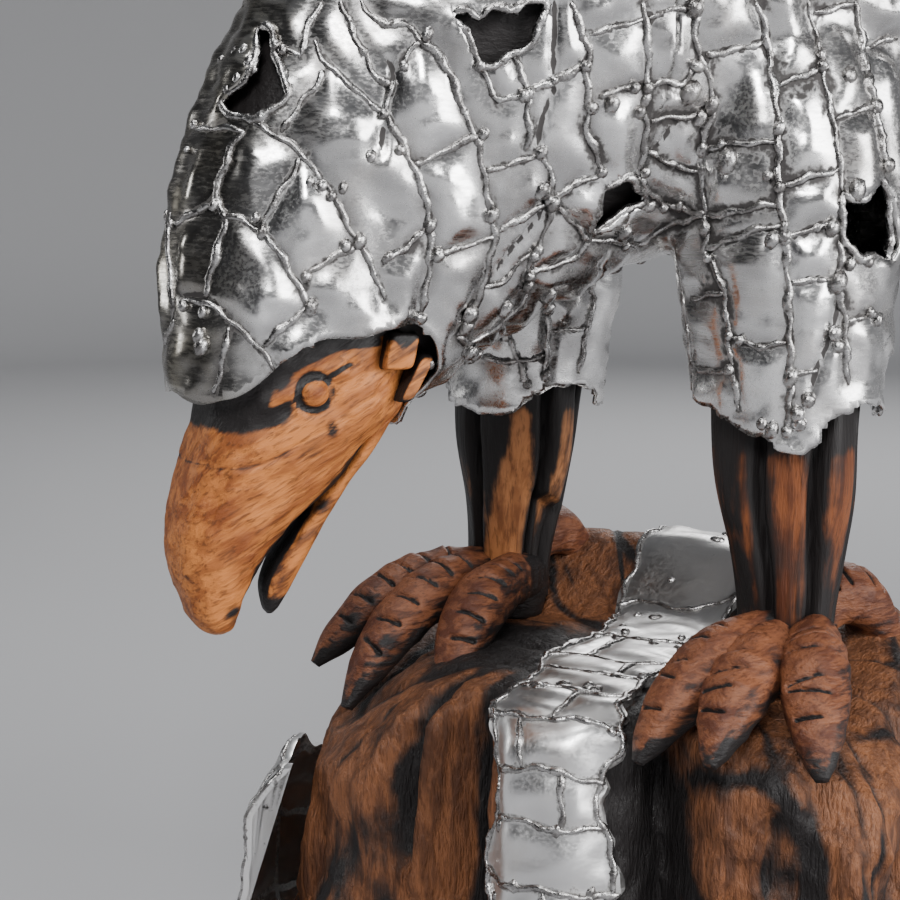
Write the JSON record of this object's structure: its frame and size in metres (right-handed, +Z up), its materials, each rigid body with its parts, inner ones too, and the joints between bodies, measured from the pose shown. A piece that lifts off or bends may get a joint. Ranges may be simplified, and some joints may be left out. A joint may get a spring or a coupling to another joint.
{
  "type": "eagle sculpture",
  "caption": "Bowed eagle carved from charred wood, dressed in a coat of welded sheet metal, standing with spread talons on a burnt stump banded with metal.",
  "frame": {"origin": "middle of the stump's flat underside", "axes": "+Z up; the bird faces -Y, with its left side at +X"},
  "size_m": [0.3699, 0.6798, 0.6733],
  "materials": {
    "charred_wood": "orange-brown carved wood, charred black at the brow, the feet and the legs, lightly oiled",
    "welded_metal": "bright dented patches, brushed and polished, with raised silver weld beads and smoke-black stains",
    "burnt_root": "weathered brown root wood with deep cracks and charred hollows",
    "strip_metal": "bright welded patches with smoke-black edges",
    "sheet_metal": "bright welded patches outside, smoke-black inside"
  },
  "bodies": {
    "root": {"carved_eagle": "charred_wood", "metal_coat": "welded_metal", "stump": "burnt_root", "stump_strip": "strip_metal", "stump_side_sheet": "sheet_metal"}
  },
  "joints": []
}
